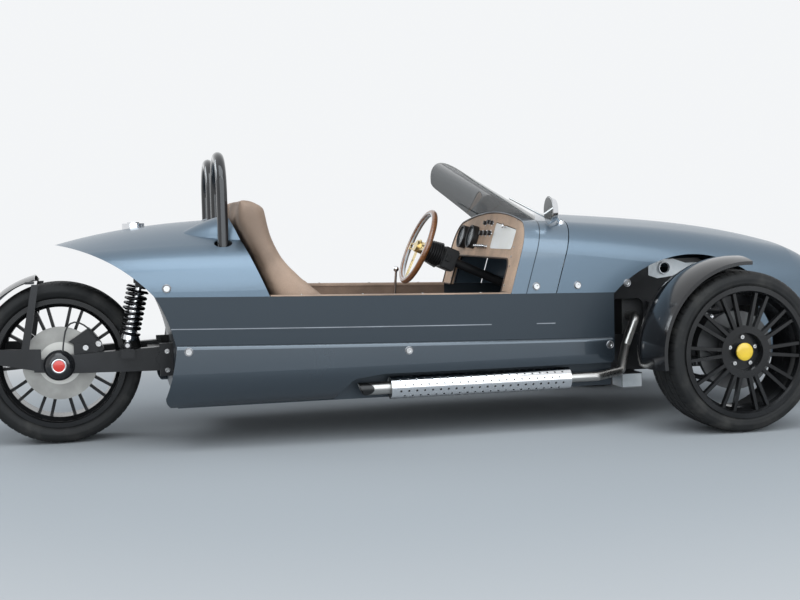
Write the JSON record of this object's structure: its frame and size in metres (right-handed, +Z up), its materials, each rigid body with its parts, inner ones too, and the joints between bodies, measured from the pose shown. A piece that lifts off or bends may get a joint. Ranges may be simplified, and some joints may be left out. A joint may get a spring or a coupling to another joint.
{
  "type": "three-wheeled car",
  "caption": "Open two-seat three-wheeled car: steered front wheels under cycle mudguards, a rear wheel in a swingarm, hollow cockpit, windscreen, roll hoops and side exhausts",
  "frame": {"origin": "centre of the car's box on the ground", "axes": "+X forward, +Y to the car's left, +Z up"},
  "size_m": [3.658, 1.712, 1.1398],
  "materials": {
    "dark_paint": "gloss",
    "slate_paint": "satin",
    "graphite_paint": "gloss",
    "chrome": "polished",
    "lamp_glass": "clear",
    "amber_glass": "gloss",
    "red_glass": "gloss",
    "tinted_glass": "clear",
    "tan_leather": "matte",
    "wood": "gloss",
    "brushed_metal": "brushed",
    "black_plastic": "satin",
    "black_paint": "satin",
    "guard_black": "gloss",
    "spring_steel": "satin",
    "exhaust_steel": "satin",
    "engine_cast": "matte",
    "knuckle_cast": "matte",
    "disc_iron": "machined",
    "rim_black": "gloss",
    "tyre": "matte"
  },
  "bodies": {
    "chassis": {"bonnet": "dark_paint", "cowl": "dark_paint", "dashboard": "tan_leather", "engine": "engine_cast", "exhaust_left": "exhaust_steel", "exhaust_right": "exhaust_steel", "exhaust_shields": "chrome", "filler_cap": "chrome", "front_coilovers": "spring_steel", "front_subframe": "black_paint", "grille": "chrome", "half_shafts": "spring_steel", "headlamps": "lamp_glass", "instruments": "black_plastic", "lower_nose": "dark_paint", "lower_panels": "graphite_paint", "mirrors": "chrome", "pedals": "brushed_metal", "plate_holder": "black_paint", "radiator": "brushed_metal", "rear_axle": "black_paint", "rear_mudguard": "guard_black", "rear_shocks": "spring_steel", "roll_hoops": "black_paint", "screen_rods": "chrome", "seat_backs": "tan_leather", "seat_cushions": "tan_leather", "seat_panel": "tan_leather", "shift_lever": "brushed_metal", "signal_lamps": "amber_glass", "steering_column": "black_plastic", "swingarm": "black_paint", "tail_beam": "black_paint", "tail_lamp": "red_glass", "tail_shell": "dark_paint", "tub": "slate_paint", "windscreen": "tinted_glass", "wishbones": "black_paint"},
    "knuckle_left": {"knuckle_left": "knuckle_cast", "front_mudguard_left": "guard_black"},
    "knuckle_right": {"knuckle_right": "knuckle_cast", "front_mudguard_right": "guard_black"},
    "front_wheel_left": {"front_rim_left": "rim_black", "front_tyre_left": "tyre", "front_disc_left": "disc_iron"},
    "front_wheel_right": {"front_rim_right": "rim_black", "front_tyre_right": "tyre", "front_disc_right": "disc_iron"},
    "rear_wheel": {"rear_rim": "rim_black", "rear_tyre": "tyre", "rear_disc": "disc_iron"},
    "tie_rods": {"tie_rods": "spring_steel"},
    "steering_wheel": {"steering_wheel_rim": "wood", "steering_wheel_spokes": "brushed_metal"},
    "glovebox_door": {"glovebox_door": "tan_leather"}
  },
  "joints": [
    {"name": "steer_right", "type": "hinge", "parent": "chassis", "child": "knuckle_right", "pos_m": [1.191, -0.66, 0.316], "axis": [0, 0, 1], "range_deg": [-30, 30]},
    {"name": "steer_left", "type": "hinge", "parent": "chassis", "child": "knuckle_left", "pos_m": [1.191, 0.66, 0.316], "axis": [0, 0, 1], "range_deg": [-30, 30]},
    {"name": "rack_slide", "type": "slide", "parent": "chassis", "child": "tie_rods", "axis": [0, 1, 0], "range_m": [-0.063, 0.063]},
    {"name": "steering_wheel_turn", "type": "hinge", "parent": "chassis", "child": "steering_wheel", "pos_m": [0.165, 0.25, 0.738], "axis": [-0.9135, 0, 0.4067], "range_deg": [-450, 450]},
    {"name": "front_wheel_left_spin", "type": "hinge", "parent": "knuckle_left", "child": "front_wheel_left", "pos_m": [1.191, 0.733, 0.316], "axis": [0, 1, 0], "continuous": true},
    {"name": "front_wheel_right_spin", "type": "hinge", "parent": "knuckle_right", "child": "front_wheel_right", "pos_m": [1.191, -0.733, 0.316], "axis": [0, 1, 0], "continuous": true},
    {"name": "rear_wheel_spin", "type": "hinge", "parent": "chassis", "child": "rear_wheel", "pos_m": [-1.399, 0, 0.322], "axis": [0, 1, 0], "continuous": true},
    {"name": "glovebox_door_hinge", "type": "hinge", "parent": "chassis", "child": "glovebox_door", "pos_m": [0.3995, -0.22, 0.7283], "axis": [0, -1, 0], "range_deg": [0, 90]}
  ],
  "couplings": [
    {"joint": "steer_left", "follows": "steer_right", "ratio": 1},
    {"joint": "rack_slide", "follows": "steer_right", "m_per_rad": -0.12},
    {"joint": "steering_wheel_turn", "follows": "steer_right", "ratio": 15}
  ]
}
